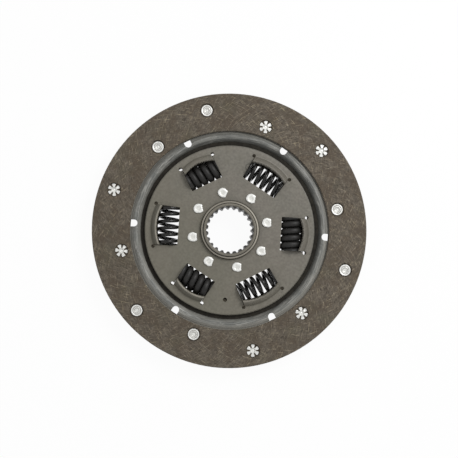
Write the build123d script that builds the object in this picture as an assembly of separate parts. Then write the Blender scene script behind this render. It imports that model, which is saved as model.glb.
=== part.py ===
from build123d import *
import os
from math import asin, ceil, cos, degrees, hypot, pi, radians, sin, sqrt, tan

# Driven disc of a dry friction clutch, in millimetres.
# The origin is on the shaft axis, at mid thickness of the carrier plate. +Z points at the flywheel side,
# the side with the short hub end, and angles run counter-clockwise from +X seen from there.

# Damper friction stack, which sits between the hub flange and the spring windows
friction_ring_d = 103.0
friction_ring_width = 5.7
rear_friction_ring_thick = 1.2
disc_spring_thick = 0.5

# Hub
spline_teeth = 23
spline_major_d = 48.0
spline_tooth_depth = 2.0
spline_pressure_angle = 30.0
spline_tooth_angle = -0.26
bore_chamfer = 0.9
bore_chamfer_angle = 30.0
boss_wall = 5.4
boss_front = 12.0
boss_rear = 17.0
boss_edge = 0.8
nose_shoulder = 2.6
nose_step = 2.4
nose_groove_wide = 0.7
nose_groove_deep = 1.6
boss_ring_edge = 0.5

# Rivets through covers and flange
hub_rivet_count = 8
hub_rivet_angle = 10.9
hub_rivet_outward = 1.05
hub_rivet_d = 7.0
hub_rivet_head_d = 10.7
hub_rivet_head_high = 1.9
hub_rivet_head_round = 1.2
hub_rivet_dimple_d = 5.0
hub_rivet_dimple_deep = 0.35

# Springs
spring_outer_d = 22.8
soft_wire = 3.6
soft_length = 38.4
soft_coil_gap = 3.35
soft_spring_turns = (331.0, 111.0, 346.0)
stiff_wire = 6.5
stiff_length = 33.8
stiff_coil_gap = 0.6
stiff_spring_turns = (350.0, 101.0, 29.0)
closed_turns = 0.85
closed_coil_gap = 0.1
ground_tip_share = 0.25
points_per_coil = 12

# Spring windows, soft and stiff in turn
window_pitch = 60.0
soft_window_angle = 56.0
stiff_window_angle = 116.0
window_land = 0.7
window_corner_r = 2.0
window_inner_corner_r = 0.3
soft_window_slope = 3.4
stiff_window_slope = 0.0
stiff_lash_angle = 3.5
soft_carrier_room = 1.6
stiff_carrier_room = 3.7

# Lips that hold the springs, raised from the outer side of each cover window
lip_thick = 2.2
lip_end_angle = 58.0
lip_bend_r = 2.0
lip_slit = 0.4
soft_lip_centre_back = 34.2
stiff_lip_centre_back = 24.2
relief_hole_d = 3.6
relief_hole_side = 1.1
soft_relief_hole_out = 13.4
stiff_relief_hole_out = 14.3

# Cover plates
cover_rim_width = 11.9
cover_thick = 2.5
cover_gap = 2.0
cover_edge_r = 1.2
cover_bore_edge_r = 0.7
pilot_hole_d = 4.2
pilot_hole_out = 7.8
pilot_hole_angle = 266.0

# Carrier plate with its ring bead and slots
carrier_thick = 2.5
bead_cover_gap = 4.5
bead_half_width = 4.8
bead_crest_flat = 2.0
bead_height = 3.1
bead_bend_r = 2.0
slot_count = 6
slot_angle = 55.8
slot_width = 7.1
slot_into_bead = 1.7

# Friction facings
facing_d = 280.0
facing_overhang = 1.5
facing_bead_gap = 0.9
facing_thick = 3.5
facing_chamfer = 0.5

# Rivets through facings and carrier, on two circles in turn
facing_rivet_count = 12
facing_rivet_angle = 10.85
facing_rivet_from_rim = 15.3
facing_rivet_from_bore = 10.5
facing_rivet_d = 6.0
facing_rivet_hollow_d = 4.0
facing_rivet_head_d = 11.8
facing_rivet_head_high = 1.1
facing_rivet_head_round = 0.35
facing_rivet_centre_d = 1.4
counterbore_room = 1.2
counterbore_floor = 1.2
petal_count = 6
petal_width = 3.3
petal_thick = 0.8
petal_tip_thick = 0.4
petal_curl = 0.25
petal_reach_d = 12.2

# Clearances
running_gap = 0.3
fit_gap = 0.1
hole_gap = 0.15
spring_end_gap = 0.05
spring_lip_gap = 0.6
lip_end_gap = 1.1
overshoot = 1.0
same = 0.001

# Levels above the middle of the carrier plate
carrier_face = carrier_thick / 2
facing_face = carrier_face + facing_thick
rivet_seat = carrier_face + counterbore_floor
cover_back = carrier_face + cover_gap
cover_face = cover_back + cover_thick
tall = boss_front + boss_rear

# Radii that follow from the sizes above, from the shaft outwards
spline_root_r = spline_major_d / 2
spline_tip_r = spline_root_r - spline_tooth_depth
boss_r = spline_root_r + boss_wall
friction_ring_bore_r = friction_ring_d / 2 - friction_ring_width
flange_r = friction_ring_bore_r - running_gap
hub_rivet_circle_r = (boss_r + flange_r) / 2 + hub_rivet_outward
spring_r = spring_outer_d / 2
window_inner_v = friction_ring_d / 2 + window_land
spring_circle_r = window_inner_v + fit_gap + sqrt(spring_r**2 - cover_back**2)
cover_r = spring_circle_r + spring_r + cover_rim_width
bead_crest_r = cover_r + bead_cover_gap + bead_half_width
facing_r = facing_d / 2
facing_bore_r = bead_crest_r + bead_half_width + facing_bead_gap
carrier_r = facing_r - facing_overhang
facing_rivet_circles = (facing_bore_r + facing_rivet_from_bore, facing_r - facing_rivet_from_rim)
counterbore_r = facing_rivet_head_d / 2 + counterbore_room


def polar(radius, angle):
    """Location at a radius and angle from the shaft axis, turned to face outwards."""
    return Rot(0, 0, angle) * Pos(radius, 0, 0)


def outlined(*points):
    """Flat face inside a closed outline of straight lines."""
    return make_face(Polyline(*points, close=True))


def turned(*points):
    """Solid of revolution about the shaft axis from (radius, z) points."""
    return revolve(Plane.XZ * outlined(*points), Axis.Z)


def rims(body, radius, *heights):
    """Round edges of a turned body, picked by their radius and height."""
    found = []
    for edge in body.edges().filter_by(GeomType.CIRCLE):
        for height in heights:
            if abs(edge.radius - radius) < same and abs(edge.arc_center.Z - height) < same:
                found.append(edge)
    return found


def through_hole(diameter, place):
    return place * Cylinder(diameter / 2, 2 * tall)


def ring(inner_r, outer_r, low, high):
    height = high - low
    disc = Cylinder(outer_r, height) - Cylinder(inner_r, height)
    return Pos(0, 0, (low + high) / 2) * disc


# Places of the rivets
def hub_rivet_places():
    return [
        polar(hub_rivet_circle_r, hub_rivet_angle + 360 / hub_rivet_count * i)
        for i in range(hub_rivet_count)
    ]


def facing_rivet_place(index):
    radius = facing_rivet_circles[index % 2]
    return polar(radius, facing_rivet_angle + 360 / facing_rivet_count * index)


def facing_rivet_headed_front(index):
    """Heads and clinched ends alternate in pairs round the disc."""
    return index % 4 in (0, 3)


# Hub with its internal spline
def spline_hole():
    """Section of the bore: a circle at the tooth tips and a space with straight flanks between teeth."""
    pitch_r = (spline_tip_r + spline_root_r) / 2
    pitch_half = pi * pitch_r / spline_teeth / 2
    slope = tan(radians(spline_pressure_angle))
    inner_r = spline_tip_r - overshoot
    inner_half = pitch_half + (pitch_r - inner_r) * slope
    outer_half = pitch_half - (spline_root_r - pitch_r) * slope
    space = outlined(
        (inner_r, -inner_half),
        (spline_root_r, -outer_half),
        (spline_root_r, outer_half),
        (inner_r, inner_half),
    )
    half_tooth = 180 / spline_teeth
    section = Sketch() + Circle(spline_tip_r)
    for i in range(spline_teeth):
        section += Rot(0, 0, spline_tooth_angle + half_tooth * (2 * i + 1)) * space
    return section


def bore_mouth(face, way):
    """Cone that leads the shaft into one end of the bore."""
    mouth_r = spline_root_r + bore_chamfer
    depth = (mouth_r - spline_tip_r) * tan(radians(bore_chamfer_angle))
    deep = face - way * depth
    return turned((0, deep), (spline_tip_r, deep), (mouth_r, face), (0, face))


def hub():
    nose_r = boss_r - nose_shoulder
    shoulder = boss_front - nose_step
    body = turned(
        (0, -boss_rear),
        (boss_r - boss_edge, -boss_rear),
        (boss_r, -boss_rear + boss_edge),
        (boss_r, -cover_back),
        (flange_r, -cover_back),
        (flange_r, cover_back),
        (boss_r, cover_back),
        (boss_r, shoulder - boss_ring_edge),
        (boss_r - boss_ring_edge, shoulder),
        (nose_r + nose_groove_wide, shoulder),
        (nose_r + nose_groove_wide, shoulder - nose_groove_deep),
        (nose_r, shoulder - nose_groove_deep),
        (nose_r, boss_front - boss_edge),
        (nose_r - boss_edge, boss_front),
        (0, boss_front),
    )
    body -= bore_mouth(boss_front, 1)
    body -= bore_mouth(-boss_rear, -1)
    body -= extrude(Pos(0, 0, -boss_rear - overshoot) * spline_hole(), tall + 2 * overshoot)
    for place in hub_rivet_places():
        body -= through_hole(hub_rivet_d + 2 * fit_gap, place)
    return body


# Spring windows and the lips over them
class Window:
    """A spring window in its own frame: v is the distance from the shaft axis, u runs along the spring."""

    def __init__(self, length, slope, lip_centre_back, relief_hole_out):
        self.half_length = length / 2
        self.slope = tan(radians(slope))
        self.lip_centre_v = spring_circle_r - lip_centre_back
        self.relief_v = spring_circle_r + relief_hole_out
        self.relief_u = self.half_width(self.relief_v) + relief_hole_side

    def half_width(self, v):
        return self.half_length + spring_end_gap + (v - window_inner_v) * self.slope

    def opening(self, inner_v, outer_v, wider=0.0):
        """Flat face of the window between two distances from the shaft axis."""
        inner = self.half_width(inner_v) + wider
        outer = self.half_width(outer_v) + wider
        return outlined((inner_v, -inner), (outer_v, -outer), (outer_v, outer), (inner_v, inner))

    def relief_places(self):
        return [Pos(self.relief_v, self.relief_u, 0), Pos(self.relief_v, -self.relief_u, 0)]


class Lip:
    """Raised lip of a cover window: a band curved over the spring, swept round a centre in plan, that runs
    into the cover plate with a rounded bend."""

    def __init__(self, window):
        self.window = window
        self.inner_r = spring_r + spring_lip_gap
        self.outer_r = self.inner_r + lip_thick
        spring_corner = hypot(spring_circle_r + spring_r - window.lip_centre_v, window.half_length)
        self.plan_r = spring_corner + lip_end_gap - self.inner_r
        lift = degrees(asin(cover_face / self.outer_r))
        self.foot_r = self.plan_r + sqrt(self.outer_r**2 - cover_face**2)
        self.bend_end_r = self.foot_r + lip_bend_r * tan(radians(90 - lift) / 2)
        self.root_r = self.plan_r + sqrt(self.inner_r**2 - cover_back**2)
        self.bend_v = window.lip_centre_v + self.bend_end_r

    def section(self):
        """Section on (distance from the plan centre, z)."""
        reach = 2 * self.outer_r
        band = Pos(self.plan_r, 0) * (Circle(self.outer_r) - Circle(self.inner_r))
        end = radians(lip_end_angle)
        below_end = outlined(
            (self.plan_r, cover_back),
            (self.plan_r + reach, cover_back),
            (self.plan_r + reach, reach * sin(end)),
            (self.plan_r + reach * cos(end), reach * sin(end)),
            (self.plan_r + cover_back / tan(end), cover_back),
        )
        strip = outlined(
            (self.root_r, cover_back),
            (self.bend_end_r + overshoot, cover_back),
            (self.bend_end_r + overshoot, cover_face),
            (self.root_r, cover_face),
        )
        section = (band & below_end) + strip
        corner = section.vertices().sort_by_distance((self.foot_r, cover_face, 0))[0]
        return fillet(corner, lip_bend_r)

    def solid(self):
        """Lip swept round its plan centre and trimmed to the window's width."""
        spread = 2 * degrees(asin((self.window.relief_u + relief_hole_d) / self.bend_end_r))
        upright = Rot(0, 0, -spread / 2) * (Plane.XZ * self.section())
        swept = Pos(self.window.lip_centre_v, 0, 0) * revolve(upright, Axis.Z, spread)
        width = self.window.opening(window_inner_v, self.bend_v + 2 * overshoot, -lip_slit)
        return swept & extrude(width, tall)

    def opening(self):
        """Hole in the flat plate, up to the arc where the lip leaves it."""
        plate_edge = Pos(self.window.lip_centre_v, 0) * Circle(self.root_r)
        return self.window.opening(window_inner_v, self.bend_v) & plate_edge

    def slits(self):
        """Narrow slits that free the lip's ends, up to the relief holes."""
        low = self.window.relief_v - relief_hole_d
        high = self.window.relief_v
        return self.window.opening(low, high) - self.window.opening(low, high, -lip_slit)


soft_window = Window(soft_length, soft_window_slope, soft_lip_centre_back, soft_relief_hole_out)
stiff_window = Window(stiff_length, stiff_window_slope, stiff_lip_centre_back, stiff_relief_hole_out)


def window_turns(first_angle):
    """Rotations that put the three windows of one kind in their places."""
    return [Rot(0, 0, first_angle + 2 * window_pitch * i) for i in range(3)]


def through_plate(flat):
    """Cutter through a cover plate."""
    return extrude(Pos(0, 0, cover_back - overshoot) * flat, cover_thick + 2 * overshoot)


def cover_plate():
    """Front cover plate, pressed from one sheet: windows, lips, relief holes and rivet holes."""
    plate = ring(boss_r + fit_gap, cover_r, cover_back, cover_face)
    plate = fillet(rims(plate, cover_r, cover_face), cover_edge_r)
    plate = fillet(rims(plate, boss_r + fit_gap, cover_face), cover_bore_edge_r)
    for window, first_angle in ((soft_window, soft_window_angle), (stiff_window, stiff_window_angle)):
        lip = Lip(window)
        opening = through_plate(lip.opening())
        slits = through_plate(lip.slits())
        solid = lip.solid()
        for turn in window_turns(first_angle):
            plate -= turn * opening
            plate -= turn * slits
            plate += turn * solid
            for place in window.relief_places():
                plate -= through_hole(relief_hole_d, turn * place)
    for place in hub_rivet_places():
        plate -= through_hole(hub_rivet_d + 2 * fit_gap, place)
    pilot_place = polar(spring_circle_r + pilot_hole_out, pilot_hole_angle)
    plate -= through_hole(pilot_hole_d, pilot_place)
    return plate


# Carrier plate
def carrier_window(window, outer_v, wider):
    """Cutter for a rounded window in the carrier plate."""
    inner_v = spring_circle_r - spring_r - running_gap
    flat = window.opening(inner_v, outer_v, wider)
    flat = fillet(flat.vertices().sort_by(Axis.X)[:2], window_inner_corner_r)
    flat = fillet(flat.vertices().sort_by(Axis.X)[-2:], window_corner_r)
    return extrude(flat, tall, both=True)


def carrier_plate():
    """Plate with a pressed ring bead of even thickness, windows for the springs and open slots."""
    middle = FilletPolyline(
        (friction_ring_bore_r, 0),
        (bead_crest_r - bead_half_width, 0),
        (bead_crest_r - bead_crest_flat / 2, bead_height),
        (bead_crest_r + bead_crest_flat / 2, bead_height),
        (bead_crest_r + bead_half_width, 0),
        (carrier_r, 0),
        radius=bead_bend_r,
    )
    plate = revolve(Plane.XZ * trace(middle, line_width=carrier_thick), Axis.Z)
    spring_outer_v = spring_circle_r + spring_r
    lash = radians(stiff_lash_angle) * spring_circle_r
    soft_cut = carrier_window(soft_window, spring_outer_v + soft_carrier_room, 0.0)
    stiff_cut = carrier_window(stiff_window, spring_outer_v + stiff_carrier_room, lash)
    for turn in window_turns(soft_window_angle):
        plate -= turn * soft_cut
    for turn in window_turns(stiff_window_angle):
        plate -= turn * stiff_cut
    slot_start = bead_crest_r - slot_into_bead
    slot_length = carrier_r - slot_start + slot_width
    slot = extrude(SlotOverall(slot_length, slot_width), tall, both=True)
    for i in range(slot_count):
        plate -= polar(slot_start + slot_length / 2, slot_angle + 360 / slot_count * i) * slot
    for i in range(facing_rivet_count):
        plate -= through_hole(facing_rivet_d + 2 * hole_gap, facing_rivet_place(i))
    return plate


# Facings
def facing():
    """Front facing: a flat ring with chamfered edges and counterbored rivet holes."""
    body = ring(facing_bore_r, facing_r, carrier_face, facing_face)
    edges = rims(body, facing_bore_r, facing_face) + rims(body, facing_r, facing_face)
    body = chamfer(edges, facing_chamfer)
    counterbore_high = facing_face - rivet_seat + overshoot
    counterbore = Pos(0, 0, rivet_seat + counterbore_high / 2) * Cylinder(counterbore_r, counterbore_high)
    for i in range(facing_rivet_count):
        body -= through_hole(facing_rivet_d + 2 * hole_gap, facing_rivet_place(i))
        body -= facing_rivet_place(i) * counterbore
    return body


# Rivets
def hub_rivet():
    """Solid rivet with a low rounded head at each end, each with a shallow dimple."""
    shank_r = hub_rivet_d / 2
    head_r = hub_rivet_head_d / 2
    dimple_r = hub_rivet_dimple_d / 2
    top = cover_face + hub_rivet_head_high
    dimple = top - hub_rivet_dimple_deep
    body = turned(
        (0, -dimple),
        (dimple_r, -top),
        (head_r, -top),
        (head_r, -cover_face),
        (shank_r, -cover_face),
        (shank_r, cover_face),
        (head_r, cover_face),
        (head_r, top),
        (dimple_r, top),
        (0, dimple),
    )
    return fillet(rims(body, head_r, top, -top), hub_rivet_head_round)


def petal_star():
    """Six petals folded flat over the carrier side of the facing, cut from a turned flare."""
    hollow_r = facing_rivet_hollow_d / 2
    reach_r = petal_reach_d / 2
    base = -rivet_seat
    flare = turned(
        (hollow_r, base),
        (reach_r, base),
        (reach_r, base - petal_tip_thick),
        (reach_r - petal_thick, base - petal_thick),
        (facing_rivet_d / 2, base - petal_thick - petal_curl),
        (hollow_r, base - petal_thick / 2),
    )
    bar = extrude(Pos(0, 0, base) * SlotOverall(petal_reach_d, petal_width), -2 * petal_thick)
    star = Pos(0, 0, base - petal_thick) * Cylinder(facing_rivet_d / 2, 2 * petal_thick)
    for i in range(petal_count // 2):
        star += Rot(0, 0, 360 / petal_count * i) * bar
    return flare & star


def facing_rivet():
    """Rivet with its flat head at the front and its drilled end split and clinched into petals behind."""
    shank_r = facing_rivet_d / 2
    hollow_r = facing_rivet_hollow_d / 2
    head_r = facing_rivet_head_d / 2
    centre_r = facing_rivet_centre_d / 2
    top = rivet_seat + facing_rivet_head_high
    dish = top - facing_rivet_head_round
    body = turned(
        (0, -rivet_seat + overshoot),
        (hollow_r, -rivet_seat + overshoot),
        (hollow_r, -rivet_seat),
        (shank_r, -rivet_seat),
        (shank_r, rivet_seat),
        (head_r, rivet_seat),
        (head_r, dish),
        (head_r - facing_rivet_head_round, top),
        (shank_r, top),
        (hollow_r, dish),
        (centre_r, dish),
        (0, dish - centre_r),
    )
    return body + petal_star()


# Springs
def spring(wire, length, coil_gap):
    """Coil spring along Z with an even pitch between closed ends, each ground flat down to a thin tip."""
    mean_r = spring_r - wire / 2
    span = length + wire * (1 - 2 * ground_tip_share)
    closed_pitch = wire + closed_coil_gap
    open_pitch = wire + coil_gap
    open_turns = (span - 2 * closed_turns * closed_pitch) / open_pitch
    coils = open_turns + 2 * closed_turns

    def point(turn):
        from_middle = turn - coils / 2
        opened = max(-open_turns / 2, min(open_turns / 2, from_middle))
        height = opened * open_pitch + (from_middle - opened) * closed_pitch
        return (mean_r * cos(2 * pi * turn), mean_r * sin(2 * pi * turn), height)

    steps = ceil(coils * points_per_coil)
    path = Spline(*[point(coils * i / steps) for i in range(steps + 1)])
    start = Plane(origin=path @ 0, z_dir=path % 0)
    coil = sweep(start * Circle(wire / 2), path=path, is_frenet=True)
    return coil & Box(3 * spring_r, 3 * spring_r, length)


def seated(coil, window_turn, own_turn):
    """Spring laid along its window, turned about its own axis as it was dropped in."""
    return window_turn * Pos(spring_circle_r, 0, 0) * Rot(90, 0, 0) * Rot(0, 0, own_turn) * coil


# Friction stack
def front_friction_ring():
    return ring(friction_ring_bore_r, friction_ring_d / 2, carrier_face, cover_back)


def rear_friction_ring():
    low = -carrier_face - rear_friction_ring_thick
    return ring(friction_ring_bore_r, friction_ring_d / 2, low, -carrier_face)


def disc_spring():
    """Coned washer between the rear friction ring and the rear cover plate."""
    outer_z = -carrier_face - rear_friction_ring_thick
    inner_z = -cover_back
    return turned(
        (friction_ring_bore_r, inner_z),
        (friction_ring_bore_r, inner_z + disc_spring_thick),
        (friction_ring_d / 2, outer_z),
        (friction_ring_d / 2, outer_z - disc_spring_thick),
    )


def pieces():
    """Every piece with its name, in place."""
    front_cover = cover_plate()
    yield "hub", hub()
    yield "carrier_plate", carrier_plate()
    yield "front_cover_plate", front_cover
    yield "rear_cover_plate", mirror(front_cover, Plane.XY)
    yield "front_facing", facing()
    yield "rear_facing", mirror(facing(), Plane.XY)
    yield "front_friction_ring", front_friction_ring()
    yield "rear_friction_ring", rear_friction_ring()
    yield "disc_spring", disc_spring()
    for i, place in enumerate(hub_rivet_places()):
        yield f"hub_rivet_{i + 1}", place * hub_rivet()
    headed_front = facing_rivet()
    headed_rear = Rot(180, 0, 0) * headed_front
    for i in range(facing_rivet_count):
        rivet = headed_front if facing_rivet_headed_front(i) else headed_rear
        yield f"facing_rivet_{i + 1:02d}", facing_rivet_place(i) * rivet
    soft = spring(soft_wire, soft_length, soft_coil_gap)
    for i, turn in enumerate(window_turns(soft_window_angle)):
        yield f"soft_spring_{i + 1}", seated(soft, turn, soft_spring_turns[i])
    stiff = spring(stiff_wire, stiff_length, stiff_coil_gap)
    for i, turn in enumerate(window_turns(stiff_window_angle)):
        yield f"stiff_spring_{i + 1}", seated(stiff, turn, stiff_spring_turns[i])


os.makedirs("parts", exist_ok=True)
for name, piece in pieces():
    export_step(piece, f"parts/{name}.step")
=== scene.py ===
import bmesh
import bpy
from math import asin, atan2, cos, hypot, pi, radians, sin
from mathutils import Matrix, Vector


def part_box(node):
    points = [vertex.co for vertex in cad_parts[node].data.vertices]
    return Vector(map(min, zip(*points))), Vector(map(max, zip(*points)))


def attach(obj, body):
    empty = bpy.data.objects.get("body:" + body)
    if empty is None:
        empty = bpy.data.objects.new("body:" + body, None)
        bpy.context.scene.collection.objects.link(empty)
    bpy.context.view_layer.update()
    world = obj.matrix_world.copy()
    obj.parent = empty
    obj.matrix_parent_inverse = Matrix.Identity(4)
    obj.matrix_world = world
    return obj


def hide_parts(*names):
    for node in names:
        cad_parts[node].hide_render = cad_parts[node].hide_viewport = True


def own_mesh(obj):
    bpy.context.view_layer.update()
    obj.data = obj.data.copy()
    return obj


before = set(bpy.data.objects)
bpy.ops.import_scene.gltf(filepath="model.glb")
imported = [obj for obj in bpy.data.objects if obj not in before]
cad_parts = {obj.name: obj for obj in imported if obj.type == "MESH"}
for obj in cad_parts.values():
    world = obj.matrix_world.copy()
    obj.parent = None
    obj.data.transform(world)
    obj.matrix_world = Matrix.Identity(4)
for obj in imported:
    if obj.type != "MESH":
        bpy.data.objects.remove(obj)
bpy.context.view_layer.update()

# Lengths are in metres, in the model's own frame: the shaft axis is Z and the flywheel side is up.
# cover_face and rivet_seat are heights: of the front cover plate's face, and of a facing rivet's seat
mm = 0.001
facing_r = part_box("front_facing")[1].x
facing_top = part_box("front_facing")[1].z
facing_width = 38.5 * mm
bead_r = 95 * mm
bead_width = 14 * mm
bead_inner_r = 90.9 * mm
cover_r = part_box("front_cover_plate")[1].x
cover_face = 5.75 * mm
stamp_place = (19.6 * mm, 64.1 * mm, cover_face)
stamp_r = 3.4 * mm
pilot_hole_place = (-5.7 * mm, -73.3 * mm, 1.2 * mm)
rivet_seat = 2.45 * mm
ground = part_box("hub")[0].z

# Springs and their windows, with the angle of the first window of each kind in degrees
soft_window = 56
stiff_window = 116
spring_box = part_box("stiff_spring_3")
spring_circle_r = (spring_box[0] + spring_box[1]).xy.length / 2


def sRGB(red, green, blue):
    """Colour from three values of 0 to 255, as linear light."""
    light = [(v / 255 / 12.92) if v < 10 else ((v / 255 + 0.055) / 1.055) ** 2.4 for v in (red, green, blue)]
    return (*light, 1.0)


# Finishes
class Finish:
    """One node material. Its calls add a node, link what is linked and set what is a value."""

    def __init__(self, name, roughness, metallic=0.0, specular=0.5):
        self.material = bpy.data.materials.new(name)
        self.material.use_nodes = True
        self.nodes = self.material.node_tree.nodes
        self.links = self.material.node_tree.links
        self.shader = self.nodes["Principled BSDF"]
        self.shader.inputs["Roughness"].default_value = roughness
        self.shader.inputs["Metallic"].default_value = metallic
        self.shader.inputs["Specular IOR Level"].default_value = specular
        self.place = self.node("ShaderNodeTexCoord").outputs["Object"]
        self.over_edge = 0.0  # share of the height by which drawn-out patterns run on over an outer edge

    def node(self, kind, **settings):
        node = self.nodes.new(kind)
        for name, value in settings.items():
            setattr(node, name, value)
        return node

    def feed(self, socket, value):
        if isinstance(value, bpy.types.NodeSocket):
            self.links.new(value, socket)
        else:
            socket.default_value = value

    def math(self, operation, *values):
        node = self.node("ShaderNodeMath", operation=operation)
        for socket, value in zip(node.inputs, values):
            self.feed(socket, value)
        return node.outputs[0]

    def rescale(self, value, low, high, to_low=0.0, to_high=1.0):
        node = self.node("ShaderNodeMapRange")
        for socket, given in zip(node.inputs, (value, low, high, to_low, to_high)):
            self.feed(socket, given)
        return node.outputs[0]

    def band(self, value, start, full, full_end, end):
        """1 where a value lies between full and full_end, falling to 0 at start and at end."""
        rise = self.rescale(value, start, full)
        fall = self.rescale(value, end, full_end)
        return self.math("MULTIPLY", rise, fall)

    def mix(self, share, first, second):
        node = self.node("ShaderNodeMix", data_type="RGBA")
        self.feed(node.inputs["Factor"], share)
        self.feed(node.inputs[6], first)
        self.feed(node.inputs[7], second)
        return node.outputs[2]

    def noise(self, size, detail=2.0):
        """Even noise whose patches are about one size across."""
        node = self.node("ShaderNodeTexNoise")
        self.feed(node.inputs["Vector"], self.place)
        self.feed(node.inputs["Scale"], 1 / size)
        self.feed(node.inputs["Detail"], detail)
        return node.outputs[0]

    def polar(self):
        """Distance from the shaft axis, angle round it and height along it."""
        parts = self.node("ShaderNodeSeparateXYZ")
        self.feed(parts.inputs[0], self.place)
        x, y, height = parts.outputs
        radius = self.math("SQRT", self.math("ADD", self.math("MULTIPLY", x, x), self.math("MULTIPLY", y, y)))
        return radius, self.math("ARCTAN2", y, x), height

    def towards(self, angle, direction):
        """1 on the side that a direction in degrees points to, and -1 on the side opposite."""
        return self.math("COSINE", self.math("SUBTRACT", angle, radians(direction)))

    def distance(self, place):
        """Distance from one place on the model."""
        node = self.node("ShaderNodeVectorMath", operation="DISTANCE")
        self.feed(node.inputs[0], self.place)
        self.feed(node.inputs[1], place)
        return node.outputs["Value"]

    def drawn_out(self, along, across, mean_r, span, loops, detail=2.0):
        """Streaks that run round the axis and cross a ring of one span in so many loops, without a seam."""
        radius, angle, height = self.polar()
        if self.over_edge:
            radius = self.math("SUBTRACT", radius, self.math("MULTIPLY", height, self.over_edge))
        turns = self.math("MULTIPLY", radius, 2 * pi / span)
        phase = self.math("ADD", turns, self.math("MULTIPLY", angle, float(loops)))
        reach = span / (2 * pi) / across
        round_reach = mean_r / along
        vector = self.node("ShaderNodeCombineXYZ")
        self.feed(vector.inputs[0], self.math("MULTIPLY", self.math("COSINE", phase), reach))
        self.feed(vector.inputs[1], self.math("MULTIPLY", self.math("SINE", phase), reach))
        self.feed(vector.inputs[2], self.math("MULTIPLY", self.math("COSINE", angle), round_reach))
        node = self.node("ShaderNodeTexNoise", noise_dimensions="4D")
        self.feed(node.inputs["Vector"], vector.outputs[0])
        self.feed(node.inputs["W"], self.math("MULTIPLY", self.math("SINE", angle), round_reach))
        self.feed(node.inputs["Scale"], 1.0)
        self.feed(node.inputs["Detail"], detail)
        return node.outputs[0]

    def finish(self, colour, height=None, depth=0.0, edge=0.0, roughness=None):
        """Puts the colour, the bump and the softened edges on the shader."""
        self.feed(self.shader.inputs["Base Color"], colour)
        if roughness is not None:
            self.feed(self.shader.inputs["Roughness"], roughness)
        normal = None
        if edge:
            bevel = self.node("ShaderNodeBevel", samples=6)
            self.feed(bevel.inputs["Radius"], edge)
            normal = bevel.outputs[0]
        if height is not None:
            bump = self.node("ShaderNodeBump")
            self.feed(bump.inputs["Height"], height)
            self.feed(bump.inputs["Distance"], depth)
            if normal is not None:
                self.feed(bump.inputs["Normal"], normal)
            normal = bump.outputs[0]
        if normal is not None:
            self.feed(self.shader.inputs["Normal"], normal)
        return self.material


def wound_friction_yarn():
    """Organic facing: brown-grey yarn wound in crossing loops, with pale fibres and dark pits."""
    work = Finish("wound_friction_yarn", roughness=0.8, specular=0.3)
    work.over_edge = 1.0
    mean_r = facing_r - facing_width / 2
    lay_up = work.drawn_out(5 * mm, 1.2 * mm, mean_r, facing_width, 8)
    lay_down = work.drawn_out(5 * mm, 1.2 * mm, mean_r, facing_width, -8)
    steep = work.drawn_out(3.5 * mm, 1.1 * mm, mean_r, facing_width, 24)
    weave = work.math("MAXIMUM", lay_up, lay_down)
    weave = work.math("ADD", work.math("MULTIPLY", weave, 0.6), work.math("MULTIPLY", steep, 0.4))
    colour = work.mix(work.rescale(weave, 0.42, 0.64), sRGB(60, 54, 46), sRGB(120, 111, 99))
    patches = work.rescale(work.noise(11 * mm, 4.0), 0.42, 0.60, 0.0, 0.75)
    colour = work.mix(patches, colour, sRGB(81, 70, 58))
    green = work.rescale(work.noise(26 * mm, 2.0), 0.5, 0.7, 0.0, 0.35)
    colour = work.mix(green, colour, sRGB(94, 92, 74))
    fibre_up = work.drawn_out(5 * mm, 0.8 * mm, mean_r, facing_width, -14)
    fibre_down = work.drawn_out(4 * mm, 0.8 * mm, mean_r, facing_width, 26)
    fibre = work.rescale(work.math("MAXIMUM", fibre_up, fibre_down), 0.61, 0.71, 0.0, 0.8)
    colour = work.mix(fibre, colour, sRGB(158, 147, 128))
    long_up = work.drawn_out(9 * mm, 0.6 * mm, mean_r, facing_width, -9)
    long_down = work.drawn_out(9 * mm, 0.6 * mm, mean_r, facing_width, 18)
    long_fibre = work.rescale(work.math("MAXIMUM", long_up, long_down), 0.645, 0.70, 0.0, 0.85)
    colour = work.mix(long_fibre, colour, sRGB(176, 163, 136))
    pits = work.rescale(work.noise(2.4 * mm, 2.0), 0.6, 0.7, 0.0, 0.55)
    colour = work.mix(pits, colour, sRGB(62, 56, 48))
    grain = work.rescale(work.noise(1.8 * mm, 3.0), 0.4, 0.6, 0.0, 0.45)
    colour = work.mix(grain, colour, sRGB(82, 76, 68))
    # Darker towards the left: painted shade of the side away from the lamp.
    towards_left = work.towards(work.polar()[1], 205)
    shade_to_left = work.rescale(towards_left, -1.0, 1.0, 0.05, 0.15)
    colour = work.mix(shade_to_left, colour, sRGB(70, 61, 48))
    return work.finish(colour, weave, 0.25 * mm, edge=0.3 * mm)


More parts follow.
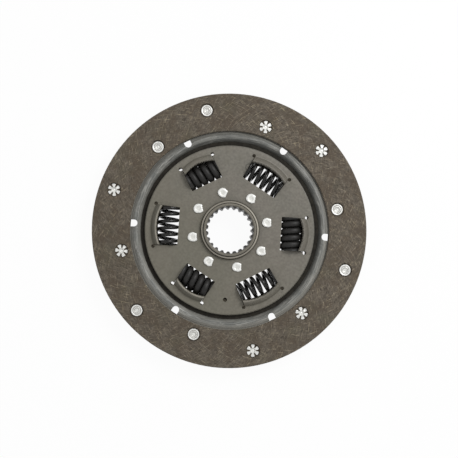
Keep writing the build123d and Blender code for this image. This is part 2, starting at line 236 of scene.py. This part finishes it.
def phosphated_steel():
    """Cover plates: an even grey-brown coating with a fine grain, with painted shade at the rim, round the
    hub and on the lips, and a painted highlight on the lips' free edges.
    """
    work = Finish("phosphated_steel", roughness=0.5, specular=0.45)
    clouds = work.rescale(work.noise(34 * mm, 3.0), 0.35, 0.65)
    colour = work.mix(clouds, sRGB(106, 103, 94), sRGB(113, 107, 98))
    grain = work.noise(1.1 * mm, 3.0)
    colour = work.mix(work.rescale(grain, 0.36, 0.64, 0.0, 0.6), colour, sRGB(86, 83, 76))
    speckle = work.rescale(work.noise(2.2 * mm, 3.0), 0.4, 0.62, 0.0, 0.55)
    colour = work.mix(speckle, colour, sRGB(123, 119, 109))
    stain = work.rescale(work.noise(7 * mm, 3.0), 0.5, 0.68, 0.0, 0.4)
    colour = work.mix(stain, colour, sRGB(97, 94, 83))
    radius, angle, height = work.polar()
    # Darker towards the outer edge: painted shade of the plate's rounded rim.
    rim = work.rescale(radius, cover_r - 1.8 * mm, cover_r - 0.4 * mm, 0.0, 0.55)
    colour = work.mix(rim, colour, sRGB(74, 72, 66))
    # Painted shadow in a thin ring where the hub's boss meets the plate, and painted shade fading out from
    # the boss.
    contact_shadow = work.band(radius, 29.3 * mm, 29.6 * mm, 30.3 * mm, 30.9 * mm)
    colour = work.mix(work.math("MULTIPLY", contact_shadow, 0.5), colour, sRGB(56, 54, 48))
    shade_by_hub = work.rescale(radius, 35 * mm, 30.5 * mm, 0.0, 0.22)
    colour = work.mix(shade_by_hub, colour, sRGB(70, 67, 60))
    height = work.math("ABSOLUTE", height)
    # Painted shade in the crease at the foot of each lip.
    lip_foot_shade = work.band(height, 5.8 * mm, 6.4 * mm, 7.4 * mm, 8.4 * mm)
    colour = work.mix(work.math("MULTIPLY", lip_foot_shade, 0.35), colour, sRGB(62, 60, 53))
    towards_left = work.towards(angle, 215)
    olive = work.rescale(towards_left, -0.6, 0.8, 0.0, 0.35)
    colour = work.mix(olive, colour, sRGB(98, 95, 78))
    lip_slope = work.band(height, 6.0 * mm, 7.5 * mm, 10.8 * mm, 11.3 * mm)
    shaded_lip = work.math("MULTIPLY", lip_slope, work.rescale(towards_left, 0.0, 0.8, 0.0, 0.42))
    colour = work.mix(shaded_lip, colour, sRGB(66, 64, 57))
    # Painted highlight along the lips' free edges, on the lower left side.
    lip_top = work.rescale(height, 11.2 * mm, 11.7 * mm)
    lip_edge_highlight = work.math("MULTIPLY", lip_top, work.rescale(towards_left, 0.0, 0.8, 0.0, 0.7))
    colour = work.mix(lip_edge_highlight, colour, sRGB(158, 153, 142))
    # Painted shade on the lower part of the lips, on the lamp's side.
    lip = work.rescale(height, 6 * mm, 8 * mm)
    lip_shade_by_lamp = work.math("MULTIPLY", lip, work.rescale(towards_left, -0.2, -0.9, 0.0, 0.3))
    colour = work.mix(lip_shade_by_lamp, colour, sRGB(84, 81, 74))
    off_line = work.math("ABSOLUTE", work.math("SUBTRACT", work.distance(stamp_place), stamp_r))
    stamp = work.rescale(off_line, 0.2 * mm, 0.6 * mm, 0.7, 0.0)
    colour = work.mix(stamp, colour, sRGB(60, 58, 52))
    return work.finish(colour, grain, 0.05 * mm, edge=0.4 * mm)


def rolled_steel():
    """Carrier plate: near black beside the cover, and streaked metal on the bead's crest, its pale streaks
    partly painted sheen, with the flanks darker or paler by direction round the axis.
    """
    work = Finish("rolled_steel", roughness=0.42, specular=0.5)
    radius, angle, _ = work.polar()
    broad = work.drawn_out(26 * mm, 2.2 * mm, bead_r, bead_width, 1, 3.0)
    streaks = work.drawn_out(12 * mm, 0.9 * mm, bead_r, bead_width, 2, 3.0)
    brushed = work.drawn_out(20 * mm, 0.6 * mm, bead_r, bead_width, 1, 2.0)
    cross = work.drawn_out(4 * mm, 0.8 * mm, bead_r, bead_width, -14, 2.0)
    # The crest: streaked steel whose pale streaks and flecks are partly the brushed grain and partly painted
    # sheen.
    bright = work.mix(work.rescale(broad, 0.36, 0.62), sRGB(76, 75, 71), sRGB(120, 119, 113))
    bright = work.mix(work.rescale(streaks, 0.5, 0.64, 0.0, 0.75), bright, sRGB(164, 163, 157))
    bright = work.mix(work.rescale(brushed, 0.52, 0.62, 0.0, 0.6), bright, sRGB(84, 86, 84))
    bright = work.mix(work.rescale(brushed, 0.46, 0.38, 0.0, 0.5), bright, sRGB(166, 166, 160))
    bright = work.mix(work.rescale(cross, 0.56, 0.7, 0.0, 0.5), bright, sRGB(70, 72, 70))
    mottle = work.rescale(work.noise(9 * mm, 4.0), 0.42, 0.66, 0.0, 0.55)
    bright = work.mix(mottle, bright, sRGB(86, 89, 87))
    flecks = work.rescale(work.noise(1.6 * mm, 2.0), 0.64, 0.74, 0.0, 0.55)
    bright = work.mix(flecks, bright, sRGB(172, 172, 168))
    # Near black from the cover's edge up the inner flank of the bead, with a ragged border.
    edge_of_dark = work.math("ADD", radius, work.math("MULTIPLY", work.noise(6 * mm, 3.0), 2.4 * mm))
    dark_beside_cover = work.rescale(edge_of_dark, 90.3 * mm, 94.6 * mm)
    colour = work.mix(dark_beside_cover, sRGB(20, 18, 16), bright)
    # By direction round the axis: the flanks darker towards the upper right and the top, paler towards the
    # lower left and the bottom, and the foot paler, most towards the left.
    towards_right = work.towards(angle, 35)
    towards_top = work.towards(angle, 110)
    on_flank = work.rescale(radius, 94.6 * mm, 92.4 * mm, 0.22, 0.75)
    flank_darker_right = work.math("MULTIPLY", on_flank, work.rescale(towards_right, -0.3, 0.9))
    colour = work.mix(flank_darker_right, colour, sRGB(44, 44, 41))
    foot = work.rescale(radius, 97.5 * mm, 99.5 * mm)
    foot_paler_left = work.math("MULTIPLY", foot, work.rescale(towards_right, 1.0, -1.0, 0.35, 0.75))
    colour = work.mix(foot_paler_left, colour, sRGB(150, 149, 143))
    outer_flank = work.rescale(radius, 96 * mm, 97.5 * mm)
    flank_darker_top = work.math("MULTIPLY", outer_flank, work.rescale(towards_top, 0.5, 1.0, 0.0, 0.3))
    colour = work.mix(flank_darker_top, colour, sRGB(58, 57, 52))
    pale_low = work.math("MULTIPLY", outer_flank, work.rescale(towards_top, 0.2, -0.8, 0.0, 0.28))
    colour = work.mix(pale_low, colour, sRGB(176, 173, 164))
    low_flank = work.band(radius, 90.5 * mm, 91.5 * mm, 93 * mm, 94.5 * mm)
    flank_paler_lower_left = work.math("MULTIPLY", low_flank, work.rescale(towards_right, -0.1, -1.0, 0.0, 0.4))
    colour = work.mix(flank_paler_lower_left, colour, sRGB(146, 144, 136))
    roughness = work.rescale(broad, 0.35, 0.65, 0.5, 0.34)
    return work.finish(colour, streaks, 0.08 * mm, edge=0.3 * mm, roughness=roughness)


def near_black_steel():
    """Carrier plate inside the bead: matt near black with dust, and painted light on the plate behind the
    small holes.
    """
    work = Finish("near_black_steel", roughness=0.6, specular=0.1)
    dust = work.rescale(work.noise(4 * mm, 4.0), 0.35, 0.7)
    colour = work.mix(dust, sRGB(30, 28, 24), sRGB(46, 43, 37))
    # Painted light: a pale ring under the relief holes and a pale spot under the pilot hole, where light
    # comes through them.
    behind_relief_holes = work.band(work.polar()[0], 76.8 * mm, 77.4 * mm, 82 * mm, 83 * mm)
    behind_pilot_hole = work.rescale(work.distance(pilot_hole_place), 3.4 * mm, 2.8 * mm)
    painted_light_behind_holes = work.math("MAXIMUM", behind_relief_holes, behind_pilot_hole)
    colour = work.mix(painted_light_behind_holes, colour, sRGB(156, 147, 130))
    return work.finish(colour, dust, 0.05 * mm, edge=0.3 * mm)


def hub_steel():
    """Machined hub: turned rings on the end face, a paler shoulder ring with a painted highlight towards the
    lamp, a painted highlight on the nose's edge, painted shade in the groove, and dark teeth.
    """
    work = Finish("hub_steel", roughness=0.42, specular=0.5)
    radius, angle, _ = work.polar()
    rings = work.node("ShaderNodeTexWave", wave_type="RINGS", rings_direction="Z")
    work.feed(rings.inputs["Vector"], work.place)
    work.feed(rings.inputs["Scale"], 260.0)
    work.feed(rings.inputs["Distortion"], 1.5)
    clouds = work.rescale(work.noise(9 * mm, 3.0), 0.35, 0.65)
    colour = work.mix(clouds, sRGB(97, 93, 83), sRGB(111, 106, 95))
    shoulder = work.band(radius, 27.6 * mm, 27.9 * mm, 28.8 * mm, 29.2 * mm)
    colour = work.mix(work.math("MULTIPLY", shoulder, 0.7), colour, sRGB(150, 144, 132))
    # Painted highlight on the shoulder ring, on the lamp's side.
    shoulder_highlight = work.rescale(work.towards(angle, 15), 0.5, 1.0, 0.0, 0.6)
    colour = work.mix(work.math("MULTIPLY", shoulder, shoulder_highlight), colour, sRGB(196, 190, 176))
    # Painted highlight on the nose's edge.
    nose_edge = work.band(radius, 25.6 * mm, 26.2 * mm, 26.6 * mm, 26.9 * mm)
    colour = work.mix(work.math("MULTIPLY", nose_edge, 0.55), colour, sRGB(136, 131, 119))
    # Painted shade in the groove between the nose and the shoulder.
    groove = work.band(radius, 26.8 * mm, 27.0 * mm, 27.5 * mm, 27.8 * mm)
    colour = work.mix(work.math("MULTIPLY", groove, 0.75), colour, sRGB(40, 38, 34))
    inside = work.rescale(radius, 24.5 * mm, 23.9 * mm)
    colour = work.mix(inside, colour, sRGB(42, 40, 36))
    return work.finish(colour, rings.outputs[1], 0.01 * mm, edge=0.3 * mm)


def zinc_plate(name, dark, pale, roughness):
    """Plated rivet metal, a little cloudy, with fine specks of handling marks."""
    work = Finish(name, roughness=roughness, metallic=0.35)
    clouds = work.rescale(work.noise(1.5 * mm, 3.0), 0.3, 0.7)
    colour = work.mix(clouds, dark, pale)
    specks = work.rescale(work.noise(0.7 * mm, 2.0), 0.6, 0.75, 0.0, 0.5)
    colour = work.mix(specks, colour, sRGB(140, 138, 132))
    return work.finish(colour, clouds, 0.04 * mm)


def oiled_spring_steel(name, roughness, specular, dark, pale):
    """Black oiled wire, a little rubbed, whose highlight follows each coil."""
    work = Finish(name, roughness=roughness, specular=specular)
    clouds = work.rescale(work.noise(3 * mm, 3.0), 0.3, 0.7)
    colour = work.mix(clouds, dark, pale)
    worn = work.rescale(work.noise(3.2 * mm, 2.0), 0.58, 0.72, 0.0, 0.25)
    colour = work.mix(worn, colour, sRGB(70, 68, 65))
    return work.finish(colour, clouds, 0.03 * mm)


def moulded_friction_ring():
    """Damper friction rings, dark moulded material."""
    work = Finish("moulded_friction_ring", roughness=0.8)
    speckle = work.rescale(work.noise(0.8 * mm, 3.0), 0.3, 0.7)
    colour = work.mix(speckle, sRGB(48, 44, 40), sRGB(74, 68, 60))
    return work.finish(colour, speckle, 0.05 * mm)


facing_yarn = wound_friction_yarn()
cover_steel = phosphated_steel()
carrier_steel = rolled_steel()
black_steel = near_black_steel()
turned_steel = hub_steel()
zinc = zinc_plate("bright_zinc", sRGB(214, 214, 210), sRGB(242, 242, 238), 0.36)
# Darker zincs that paint the shade in the rivet heads' sunk middles and grooves.
dimple_shade_zinc = zinc_plate("dimple_shade_zinc", sRGB(188, 188, 183), sRGB(220, 220, 215), 0.45)
groove_shade_zinc = zinc_plate("groove_shade_zinc", sRGB(128, 126, 120), sRGB(164, 162, 156), 0.5)
hub_dimple_shade_zinc = zinc_plate("hub_dimple_shade_zinc", sRGB(196, 196, 190), sRGB(228, 228, 223), 0.4)
thin_wire = oiled_spring_steel("oiled_thin_wire", 0.2, 0.3, sRGB(12, 11, 10), sRGB(26, 25, 23))
thick_wire = oiled_spring_steel("oiled_thick_wire", 0.5, 0.34, sRGB(13, 12, 11), sRGB(27, 26, 24))
ring_compound = moulded_friction_ring()

# Nodes that keep their own mesh
finish_of_node = {
    "hub": turned_steel,
    "front_facing": facing_yarn,
    "rear_facing": facing_yarn,
    "front_friction_ring": ring_compound,
    "rear_friction_ring": ring_compound,
    "disc_spring": thick_wire,
}


def dress(piece, material):
    piece.data.materials.clear()
    piece.data.materials.append(material)


for name, material in finish_of_node.items():
    dress(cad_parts[name], material)


# Helpers for modelling by hand
def choose(piece):
    """Makes one piece the only selected one."""
    bpy.ops.object.select_all(action="DESELECT")
    piece.select_set(True)
    bpy.context.view_layer.objects.active = piece


def open_mesh(piece):
    """Opens one piece in edit mode, with all of it selected."""
    choose(piece)
    bpy.ops.object.mode_set(mode="EDIT")
    bpy.ops.mesh.select_all(action="SELECT")


def close_mesh():
    bpy.ops.object.mode_set(mode="OBJECT")


def pick(piece, passes):
    """Selects the vertices of an open mesh whose place passes a test."""
    mesh = bmesh.from_edit_mesh(piece.data)
    for vert in mesh.verts:
        vert.select = passes(vert.co)
    mesh.select_mode = {"VERT"}
    mesh.select_flush_mode()
    bmesh.update_edit_mesh(piece.data)


def clean_up(piece, angle):
    """Merges doubles, turns the faces outwards and shades the curves smooth."""
    open_mesh(piece)
    bpy.ops.mesh.remove_doubles(threshold=0.001 * mm)
    bpy.ops.mesh.normals_make_consistent(inside=False)
    close_mesh()
    bpy.ops.object.shade_smooth_by_angle(angle=radians(angle))


def grown(name, sides, *outline):
    """Round solid grown from a disc by extruding it through each (radius, height) of its outline."""
    radius, height = outline[0]
    bpy.ops.mesh.primitive_circle_add(vertices=sides, radius=radius, fill_type="NGON", location=(0, 0, 0))
    piece = bpy.context.active_object
    piece.name = name
    open_mesh(piece)
    bpy.ops.transform.translate(value=(0, 0, height))
    bpy.ops.mesh.duplicate()
    for next_radius, next_height in outline[1:]:
        rise = (0, 0, next_height - height)
        bpy.ops.mesh.extrude_region_move(TRANSFORM_OT_translate={"value": rise})
        wider = next_radius / radius
        bpy.ops.transform.resize(value=(wider, wider, 1), center_override=(0, 0, next_height))
        radius, height = next_radius, next_height
    close_mesh()
    return piece


def rounded(piece, levels):
    """Rounds a piece with a subdivision surface."""
    choose(piece)
    modifier = piece.modifiers.new("round", "SUBSURF")
    modifier.levels = levels
    modifier.render_levels = levels
    bpy.ops.object.modifier_apply(modifier=modifier.name)


def placed_copy(piece, name, place):
    """Copy with a mesh of its own, moved to its place in that mesh."""
    copy = bpy.data.objects.new(name, piece.data.copy())
    bpy.context.scene.collection.objects.link(copy)
    copy.data.transform(place)
    return copy


def plate_rivet(piece, shaded_middle, shade_start, shade_end, height):
    """Bright plating all over, and darker plating in a ring of both ends above a height, which paints the
    shade in the sunk middle of the heads.
    """
    dress(piece, zinc)
    piece.data.materials.append(shaded_middle)
    for face in piece.data.polygons:
        radius = face.center.xy.length
        face.material_index = int(shade_start < radius < shade_end and abs(face.center.z) > height)


def axis_of(node):
    """Move from the shaft axis to the upright axis of a node."""
    low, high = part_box(node)
    return Matrix.Translation(((low.x + high.x) / 2, (low.y + high.y) / 2, 0))


# Rivets through the facings: a turned head, a shank, and a split end folded out into six plump petals
def rivet_petal():
    """One petal along +X, wide and round at its tip and narrow at its neck."""
    neck_r, tip_r, thick = 2.3 * mm, 6.35 * mm, 0.8 * mm
    bpy.ops.mesh.primitive_cube_add(size=1, location=(0, 0, 0))
    petal = bpy.context.active_object
    open_mesh(petal)
    bpy.ops.transform.resize(value=(tip_r - neck_r, 3.5 * mm, thick), center_override=(0, 0, 0))
    bpy.ops.transform.translate(value=((tip_r + neck_r) / 2, 0, -rivet_seat - thick / 2))
    bpy.ops.mesh.subdivide(number_cuts=3)
    width_at = ((2.3, 0.6), (3.3, 0.55), (4.3, 0.9), (5.3, 1.1), (6.35, 0.85))
    for radius, width in width_at:
        pick(petal, lambda co: abs(co.x - radius * mm) < 0.45 * mm)
        bpy.ops.transform.resize(value=(1, width, 1), center_override=(0, 0, 0))
    pick(petal, lambda co: co.x < 3.6 * mm)
    bpy.ops.transform.translate(value=(0, 0, -0.25 * mm))
    close_mesh()
    rounded(petal, 2)
    return petal


def facing_rivet_master():
    """Whole rivet with its head up: six petals spun round the split end, joined to the turned body."""
    head_r = 5.85 * mm
    head_top = rivet_seat + 1.1 * mm
    body = grown(
        "rivet_body", 48,
        (0.7 * mm, -rivet_seat + 0.25 * mm),
        (1.2 * mm, -rivet_seat + 0.6 * mm),
        (1.9 * mm, -rivet_seat + 0.5 * mm),
        (2.1 * mm, -rivet_seat - 0.5 * mm),
        (2.5 * mm, -rivet_seat - 0.95 * mm),
        (2.9 * mm, -rivet_seat - 0.8 * mm),
        (3.0 * mm, -rivet_seat - 0.3 * mm),
        (3.0 * mm, rivet_seat),
        (head_r - 0.1 * mm, rivet_seat),
        (head_r, rivet_seat + 0.2 * mm),
        (head_r, head_top - 0.3 * mm),
        (head_r - 0.25 * mm, head_top - 0.03 * mm),
        (head_r - 0.6 * mm, head_top),
        (head_r - 1.5 * mm, head_top - 0.03 * mm),
        (head_r - 1.75 * mm, head_top - 0.25 * mm),
        (head_r - 2.05 * mm, head_top - 0.24 * mm),
        (head_r - 2.25 * mm, head_top - 0.08 * mm),
        (head_r - 2.9 * mm, head_top - 0.1 * mm),
        (2.4 * mm, head_top - 0.35 * mm),
        (1.4 * mm, head_top - 0.42 * mm),
        (1.1 * mm, head_top - 0.55 * mm),
        (0.8 * mm, head_top - 0.5 * mm),
        (0.6 * mm, head_top - 0.3 * mm),
        (0.3 * mm, head_top - 0.25 * mm),
    )
    clean_up(body, 50)
    petal = rivet_petal()
    open_mesh(petal)
    bpy.ops.mesh.spin(steps=6, dupli=True, angle=2 * pi, center=(0, 0, 0), axis=(0, 0, 1))
    close_mesh()
    clean_up(petal, 60)
    petal.select_set(True)
    body.select_set(True)
    bpy.context.view_layer.objects.active = body
    bpy.ops.object.join()
    return body


def add_facing_rivets():
    """Twelve rivets, six of them with the petals up, at the turn that each one has in the photo."""
    master = facing_rivet_master()
    off_seat = 2.6 * mm
    plate_rivet(master, dimple_shade_zinc, 0.9 * mm, 3.1 * mm, off_seat)
    # Painted shade in the grooves of the heads.
    master.data.materials.append(groove_shade_zinc)
    for face in master.data.polygons:
        radius = face.center.xy.length
        in_groove = 3.6 * mm < radius < 4.3 * mm or 2.35 * mm < radius < 2.7 * mm
        if face.center.z > off_seat and in_groove:
            face.material_index = 2
    petal_turns = {1: 24.9, 2: 26.8, 5: 31.6, 6: 53.0, 9: 29.0, 10: 42.4}
    for i in range(12):
        node = f"facing_rivet_{i + 1:02d}"
        head_up = i % 4 in (0, 3)
        turn = Matrix.Rotation(radians(petal_turns.get(i, 37.0 * i)), 4, "Z")
        over = Matrix() if head_up else Matrix.Rotation(pi, 4, "X")
        piece = placed_copy(master, f"facing_rivet_turned_{i + 1:02d}", axis_of(node) @ turn @ over)
        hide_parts(node)
        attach(piece, "friction_disc")
    bpy.data.objects.remove(master)


# Rivets through the hub: pressed heads with two ears, a bite, a flat and a slight bulge in their outline
def hub_rivet_master():
    shank_r, head_r = 3.5 * mm, 5.1 * mm
    top = cover_face + 1.85 * mm
    half = (
        (1.2 * mm, top - 0.32 * mm),
        (2.3 * mm, top - 0.22 * mm),
        (2.8 * mm, top - 0.03 * mm),
        (head_r - 1.1 * mm, top),
        (head_r - 0.4 * mm, top - 0.25 * mm),
        (head_r, top - 0.8 * mm),
        (head_r + 0.05 * mm, cover_face + 0.3 * mm),
        (head_r - 0.1 * mm, cover_face),
        (shank_r, cover_face),
    )
    under = [(radius, -height) for radius, height in half]
    rivet = grown("hub_rivet_body", 32, *under, *reversed(half))
    clean_up(rivet, 50)
    ears = ((38, 0.5), (-38, 0.55))
    bite = ((0, -0.45), (16, -0.3), (-16, -0.35))
    flat = ((250, -0.5), (270, -0.35), (230, -0.3))
    bulge = ((190, 0.2),)
    open_mesh(rivet)
    for angle, push in ears + bite + flat + bulge:
        towards = Vector((cos(radians(angle)), sin(radians(angle)), 0))

        def on_rim(co):
            across = Vector((co.x, co.y, 0))
            outside = across.length > head_r - 1.2 * mm
            return outside and across.normalized().dot(towards) > cos(radians(12))

        pick(rivet, on_rim)
        bpy.ops.transform.translate(value=towards * push * mm)
    close_mesh()
    rounded(rivet, 1)
    clean_up(rivet, 50)
    return rivet


def add_hub_rivets():
    """Eight rivets, each with its bite at the turn that it has in the photo."""
    master = hub_rivet_master()
    plate_rivet(master, hub_dimple_shade_zinc, 0.0, 2.6 * mm, cover_face)
    bite_turns = (0, -12, -24, 12, 4, -20, 0, 8)
    for i, bite_turn in enumerate(bite_turns):
        node = f"hub_rivet_{i + 1}"
        turn = Matrix.Rotation(radians(bite_turn), 4, "Z")
        piece = placed_copy(master, f"hub_rivet_pressed_{i + 1}", axis_of(node) @ turn)
        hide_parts(node)
        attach(piece, "hub_group")
    bpy.data.objects.remove(master)


# Copies of the solids with their triangles merged and their curves shaded smooth
def smooth_copy(node, name, angle):
    piece = bpy.data.objects.new(name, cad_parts[node].data.copy())
    bpy.context.scene.collection.objects.link(piece)
    open_mesh(piece)
    bpy.ops.mesh.remove_doubles(threshold=0.0005 * mm)
    close_mesh()
    bpy.ops.object.shade_smooth_by_angle(angle=radians(angle))
    return piece


def add_smooth_plate(node, body, material):
    """Pressed or turned piece whose bends are shaded smooth while its flats stay flat."""
    piece = smooth_copy(node, f"{node}_smooth", 30)
    modifier = piece.modifiers.new("flat faces", "WEIGHTED_NORMAL")
    modifier.keep_sharp = True
    modifier.weight = 100
    bpy.ops.object.modifier_apply(modifier=modifier.name)
    dress(piece, material)
    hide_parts(node)
    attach(piece, body)
    return piece


def thicken(piece, added, along, centre, half_length):
    """Thickens the wire of a spring by an amount all round and keeps its length."""
    open_mesh(piece)
    bpy.ops.transform.shrink_fatten(value=added)
    keep_length = half_length / (half_length + added)
    square_to_spring = along.to_track_quat("X", "Z").to_matrix()
    bpy.ops.transform.resize(
        value=(keep_length, 1, 1), orient_matrix=square_to_spring.transposed(), center_override=centre
    )
    close_mesh()


def add_springs(kind, first_angle, wire, added, half_length):
    """Three springs, copied and shaded smooth in their windows, their wire thickened when an amount is given.
    """
    for i in range(3):
        angle = radians(first_angle + 120 * i)
        node = f"{kind}_spring_{i + 1}"
        piece = smooth_copy(node, f"{kind}_coil_{i + 1}", 62)
        dress(piece, wire)
        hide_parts(node)
        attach(piece, f"{kind}_springs")
        along = Vector((-sin(angle), cos(angle), 0))
        centre = Vector((cos(angle), sin(angle), 0)) * spring_circle_r
        if added:
            thicken(piece, added, along, centre, half_length)
        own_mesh(piece)


def square_soft_windows(piece):
    """Turns the ends of the carrier's soft windows square up to the springs, which stand on them."""
    end_half = 19.25 * mm
    inner_edge = 52.2 * mm
    outer_edge = 76.5 * mm
    flare = 3.4
    squared = 0.85 * flare
    inner_corner = 0.8 * mm
    end_corner = 2.2 * mm
    open_mesh(piece)
    for i in range(3):
        window = Matrix.Rotation(radians(soft_window + 120 * i), 4, "Z")
        for side in (1, -1):

            def on_end(co):
                place = window.inverted() @ co
                beyond = side * place.y - end_half
                slope = (place.x - inner_edge) * sin(radians(flare))
                beside = inner_edge + inner_corner < place.x < outer_edge
                return beside and -end_corner < beyond < slope + 0.1 * mm

            pick(piece, on_end)
            corner = window @ Vector((inner_edge, side * end_half, 0))
            bpy.ops.transform.rotate(value=side * radians(squared), orient_axis="Z", center_override=corner)
    close_mesh()


def set_back_inner_edges(piece):
    """Sets back the inner edge of the carrier's windows, where the ends of the springs swing inwards."""
    inner_edge = spring_circle_r - 11.7 * mm
    edge_middle = inner_edge + 0.15 * mm
    window_half = 21.5 * mm
    open_mesh(piece)
    for first_angle, room in ((soft_window, 0.8 * mm), (stiff_window, 1.4 * mm)):
        for i in range(3):
            window = Matrix.Rotation(radians(first_angle + 120 * i), 4, "Z")

            def on_inner_edge(co):
                place = window.inverted() @ co
                return abs(place.x - edge_middle) < 0.25 * mm and abs(place.y) < window_half

            pick(piece, on_inner_edge)
            inwards = window.to_3x3() @ Vector((-room, 0, 0))
            bpy.ops.transform.translate(value=inwards)
    close_mesh()


def blacken_inside_bead(piece):
    piece.data.materials.append(black_steel)
    for face in piece.data.polygons:
        if face.center.xy.length < bead_inner_r:
            face.material_index = 1


add_facing_rivets()
add_hub_rivets()
add_smooth_plate("front_cover_plate", "hub_group", cover_steel)
add_smooth_plate("rear_cover_plate", "hub_group", cover_steel)
carrier = add_smooth_plate("carrier_plate", "friction_disc", carrier_steel)
square_soft_windows(carrier)
set_back_inner_edges(carrier)
blacken_inside_bead(carrier)
add_springs("soft", soft_window, thin_wire, added=0, half_length=19.2 * mm)
add_springs("stiff", stiff_window, thick_wire, added=0.06 * mm, half_length=16.9 * mm)


# Camera, almost straight down the shaft axis as in the photograph, from a little to the lower left
photo_side = 458
camera_high = 900 * mm
camera_foot = Vector((-27 * mm, -36 * mm, 0))
camera_away = hypot(camera_high, camera_foot.length)
seen_width = 466.3 * mm
disc_right_pixels = 0.78
disc_low_pixels = 1.0
camera_data = bpy.data.cameras.new("camera")
camera_data.sensor_width = 36
camera_data.lens = camera_data.sensor_width * camera_away / seen_width
camera_data.shift_x = -disc_right_pixels / photo_side
camera_data.shift_y = disc_low_pixels / photo_side
camera_data.clip_end = 20
camera = bpy.data.objects.new("camera", camera_data)
camera.location = camera_foot + Vector((0, 0, facing_top + camera_high))
camera.rotation_euler = (asin(-camera_foot.y / camera_away), atan2(camera_foot.x, camera_high), 0)
bpy.context.scene.collection.objects.link(camera)
bpy.context.scene.camera = camera

# Light: an even pale room, with a broad soft lamp to the upper right
view = bpy.context.scene.view_settings
view.view_transform = "Standard"


def seen_by_lens(tree):
    """1 where the camera, a mirror or glass sees a surface, and 0 where it only lights others."""
    path = tree.nodes.new("ShaderNodeLightPath")
    seen = path.outputs["Is Camera Ray"]
    for name in ("Is Glossy Ray", "Is Transmission Ray"):
        either = tree.nodes.new("ShaderNodeMath")
        either.operation = "MAXIMUM"
        tree.links.new(seen, either.inputs[0])
        tree.links.new(path.outputs[name], either.inputs[1])
        seen = either.outputs[0]
    return seen


world = bpy.data.worlds.new("pale_room")
bpy.context.scene.world = world
world.use_nodes = True
room_tree = world.node_tree
room = room_tree.nodes["Background"]
room.inputs["Color"].default_value = (1, 1, 1, 1)
room_light = 0.56
seen = seen_by_lens(room_tree)
level = room_tree.nodes.new("ShaderNodeMapRange")
level.inputs["To Min"].default_value = room_light
level.inputs["To Max"].default_value = 1.0
room_tree.links.new(seen, level.inputs["Value"])
room_tree.links.new(level.outputs[0], room.inputs["Strength"])


def soft_lamp(name, direction, height, distance, side, share):
    """Square lamp aimed at the disc. Its share is the light it adds on a level surface, of a white room's."""
    data = bpy.data.lights.new(name, "AREA")
    data.size = side
    lamp = bpy.data.objects.new(name, data)
    turn, lift = radians(direction), radians(height)
    lamp.location = Vector((cos(turn) * cos(lift), sin(turn) * cos(lift), sin(lift))) * distance
    lamp.rotation_euler = lamp.location.to_track_quat("Z", "Y").to_euler()
    data.energy = share * pi**2 * distance**2 / sin(lift)
    bpy.context.scene.collection.objects.link(lamp)


soft_lamp("right_lamp", direction=40, height=48, distance=1.25, side=0.55, share=0.42)

# Floor that the disc lies on, white to the camera apart from the shadow
bpy.ops.mesh.primitive_plane_add(size=6, location=(0, 0, ground))
floor = bpy.context.active_object
floor.name = "floor"
paper = bpy.data.materials.new("white_paper")
paper.use_nodes = True
paper_tree = paper.node_tree
paper_tree.nodes["Principled BSDF"].inputs["Base Color"].default_value = (0.9, 0.9, 0.9, 1)
paper_tree.nodes["Principled BSDF"].inputs["Roughness"].default_value = 0.9
glow = paper_tree.nodes.new("ShaderNodeEmission")
share = paper_tree.nodes.new("ShaderNodeMixShader")
strength = paper_tree.nodes.new("ShaderNodeMath")
strength.operation = "MULTIPLY"
strength.inputs[1].default_value = 0.95
paper_tree.links.new(seen_by_lens(paper_tree), strength.inputs[0])
paper_tree.links.new(strength.outputs[0], share.inputs[0])
paper_tree.links.new(paper_tree.nodes["Principled BSDF"].outputs[0], share.inputs[1])
paper_tree.links.new(glow.outputs[0], share.inputs[2])
paper_tree.links.new(share.outputs[0], paper_tree.nodes["Material Output"].inputs["Surface"])
dress(floor, paper)
